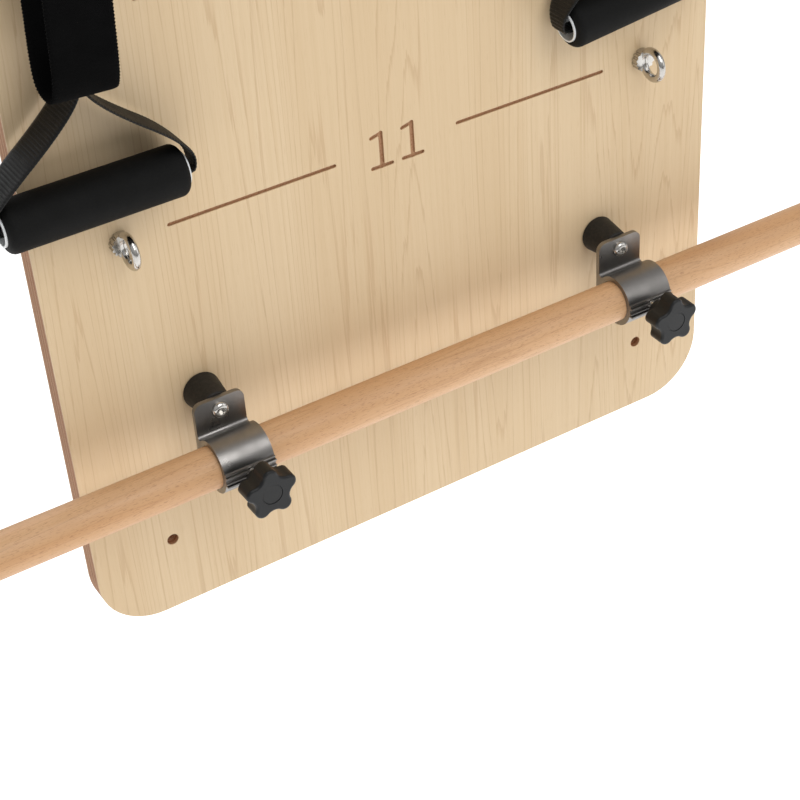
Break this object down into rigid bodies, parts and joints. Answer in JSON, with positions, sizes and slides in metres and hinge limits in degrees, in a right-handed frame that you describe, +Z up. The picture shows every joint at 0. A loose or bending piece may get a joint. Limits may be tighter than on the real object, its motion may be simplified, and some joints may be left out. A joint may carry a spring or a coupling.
{
  "type": "wall-mounted spring board",
  "caption": "Wall-mounted wooden exercise board with eye bolts, springs, hand grips, foot loops and a clamped wooden bar.",
  "frame": {"origin": "middle of the four wall bolts, on the board's back face", "axes": "+X to the right seen from the room, +Y into the wall, +Z up"},
  "size_m": [1, 0.1293, 2.2],
  "materials": {
    "maple_face": "satin lacquered maple laminate, fine upright grain",
    "plywood_core": "oiled reddish-brown core, seen in the routed marks and at the edge",
    "beech": "lacquered beech with short dark flecks",
    "bright_steel": "polished stainless steel",
    "spring_steel": "bright drawn wire",
    "gunmetal": "satin anodised gunmetal",
    "black_rubber": "matt moulded rubber",
    "black_plastic": "fine-textured moulded plastic",
    "white_plastic": "smooth white tube",
    "black_foam": "closed-cell foam, matt",
    "black_webbing": "ribbed polyester webbing",
    "padded_strap": "soft knitted cotton strap with stitched edges"
  },
  "bodies": {
    "board": {"board_core": "plywood_core", "front_laminate": "maple_face", "back_laminate": "maple_face", "eye_bolts_left": "bright_steel", "eye_bolts_right": "bright_steel", "back_nuts": "bright_steel", "back_washers": "bright_steel", "standoff_left": "black_rubber", "standoff_right": "black_rubber", "clamp_left": "gunmetal", "clamp_right": "gunmetal", "clamp_screws": "bright_steel"},
    "bar": {"wooden_bar": "beech"},
    "plug_left": {"pressure_plug_left": "white_plastic"},
    "knob_set_left": {"knob_left": "black_plastic", "knob_cap_left": "black_plastic", "knob_stud_left": "bright_steel"},
    "upper_hook_left": {"upper_hook_body_left": "bright_steel", "upper_hook_pin_left": "bright_steel", "spring_top_loop_left": "spring_steel", "spring_coil_left": "spring_steel"},
    "upper_gate_left": {"upper_hook_gate_left": "bright_steel"},
    "lower_hook_left": {"lower_hook_body_left": "bright_steel", "lower_hook_pin_left": "bright_steel", "spring_bottom_loop_left": "spring_steel"},
    "lower_gate_left": {"lower_hook_gate_left": "bright_steel"},
    "handle_left": {"handle_ring_left": "bright_steel", "handle_webbing_left": "black_webbing"},
    "grip_left": {"handle_tube_left": "white_plastic", "handle_grip_left": "black_foam"},
    "loop_left": {"loop_ring_left": "bright_steel", "loop_strap_left": "padded_strap"},
    "plug_right": {"pressure_plug_right": "white_plastic"},
    "knob_set_right": {"knob_right": "black_plastic", "knob_cap_right": "black_plastic", "knob_stud_right": "bright_steel"},
    "upper_hook_right": {"upper_hook_body_right": "bright_steel", "upper_hook_pin_right": "bright_steel", "spring_top_loop_right": "spring_steel", "spring_coil_right": "spring_steel"},
    "upper_gate_right": {"upper_hook_gate_right": "bright_steel"},
    "lower_hook_right": {"lower_hook_body_right": "bright_steel", "lower_hook_pin_right": "bright_steel", "spring_bottom_loop_right": "spring_steel"},
    "lower_gate_right": {"lower_hook_gate_right": "bright_steel"},
    "handle_right": {"handle_ring_right": "bright_steel", "handle_webbing_right": "black_webbing"},
    "grip_right": {"handle_tube_right": "white_plastic", "handle_grip_right": "black_foam"},
    "loop_right": {"loop_ring_right": "bright_steel", "loop_strap_right": "padded_strap"}
  },
  "joints": [
    {"name": "bar_slide", "type": "slide", "parent": "board", "child": "bar", "axis": [1, 0, 0], "range_m": [-0.12, 0.12]},
    {"name": "pad_travel_left", "type": "slide", "parent": "board", "child": "plug_left", "axis": [0, -1, 0], "range_m": [0, 0.0038]},
    {"name": "knob_turn_left", "type": "hinge", "parent": "plug_left", "child": "knob_set_left", "pos_m": [-0.189, -0.0728, -0.9348], "axis": [0, -1, 0], "range_deg": [0, 1080]},
    {"name": "set_swing_left", "type": "hinge", "parent": "board", "child": "upper_hook_left", "pos_m": [-0.2495, -0.036, 0.122], "axis": [-1, 0, 0], "range_deg": [0, 95]},
    {"name": "spring_stretch_left", "type": "slide", "parent": "upper_hook_left", "child": "lower_hook_left", "axis": [0, 0, -1], "range_m": [0, 0.27], "stiffness_N_per_m": 200, "springref_m": -0.05, "deforming": ["spring_coil_left"]},
    {"name": "handle_swing_left", "type": "hinge", "parent": "lower_hook_left", "child": "handle_left", "pos_m": [-0.2495, -0.036, -0.2802], "axis": [-1, 0, 0], "range_deg": [0, 80]},
    {"name": "loop_swing_left", "type": "hinge", "parent": "handle_left", "child": "loop_left", "pos_m": [-0.2495, -0.0384, -0.2856], "axis": [-1, 0, 0], "range_deg": [0, 38]},
    {"name": "grip_roll_left", "type": "hinge", "parent": "handle_left", "child": "grip_left", "pos_m": [-0.255, -0.0425, -0.699], "axis": [1, 0, 0], "continuous": true},
    {"name": "upper_gate_open_left", "type": "hinge", "parent": "upper_hook_left", "child": "upper_gate_left", "pos_m": [-0.2264, -0.036, 0.09794], "axis": [0, 1, 0], "range_deg": [0, 25], "stiffness_Nm_per_rad": 0.02, "springref_deg": -20.05},
    {"name": "lower_gate_open_left", "type": "hinge", "parent": "lower_hook_left", "child": "lower_gate_left", "pos_m": [-0.2495, -0.047, -0.2468], "axis": [1, 0, 0], "range_deg": [0, 25], "stiffness_Nm_per_rad": 0.02, "springref_deg": -20.05},
    {"name": "pad_travel_right", "type": "slide", "parent": "board", "child": "plug_right", "axis": [0, -1, 0], "range_m": [0, 0.0038]},
    {"name": "knob_turn_right", "type": "hinge", "parent": "plug_right", "child": "knob_set_right", "pos_m": [0.189, -0.0728, -0.9348], "axis": [0, -1, 0], "range_deg": [0, 1080]},
    {"name": "set_swing_right", "type": "hinge", "parent": "board", "child": "upper_hook_right", "pos_m": [0.2165, -0.036, 0.122], "axis": [-1, 0, 0], "range_deg": [0, 95]},
    {"name": "spring_stretch_right", "type": "slide", "parent": "upper_hook_right", "child": "lower_hook_right", "axis": [0, 0, -1], "range_m": [0, 0.27], "stiffness_N_per_m": 200, "springref_m": -0.05, "deforming": ["spring_coil_right"]},
    {"name": "handle_swing_right", "type": "hinge", "parent": "lower_hook_right", "child": "handle_right", "pos_m": [0.2165, -0.036, -0.2802], "axis": [-1, 0, 0], "range_deg": [0, 80]},
    {"name": "loop_swing_right", "type": "hinge", "parent": "handle_right", "child": "loop_right", "pos_m": [0.2165, -0.0384, -0.2856], "axis": [-1, 0, 0], "range_deg": [0, 38]},
    {"name": "grip_roll_right", "type": "hinge", "parent": "handle_right", "child": "grip_right", "pos_m": [0.211, -0.0425, -0.683], "axis": [0.9945, 0, 0.1045], "continuous": true},
    {"name": "upper_gate_open_right", "type": "hinge", "parent": "upper_hook_right", "child": "upper_gate_right", "pos_m": [0.2396, -0.036, 0.09794], "axis": [0, 1, 0], "range_deg": [0, 25], "stiffness_Nm_per_rad": 0.02, "springref_deg": -20.05},
    {"name": "lower_gate_open_right", "type": "hinge", "parent": "lower_hook_right", "child": "lower_gate_right", "pos_m": [0.2165, -0.047, -0.2468], "axis": [1, 0, 0], "range_deg": [0, 25], "stiffness_Nm_per_rad": 0.02, "springref_deg": -20.05}
  ],
  "couplings": [
    {"joint": "pad_travel_left", "follows": "knob_turn_left", "m_per_rad": 0.00019894},
    {"joint": "spring_stretch_left", "follows": "set_swing_left", "m_per_rad": 0.159},
    {"joint": "pad_travel_right", "follows": "knob_turn_right", "m_per_rad": 0.00019894},
    {"joint": "spring_stretch_right", "follows": "set_swing_right", "m_per_rad": 0.159}
  ]
}
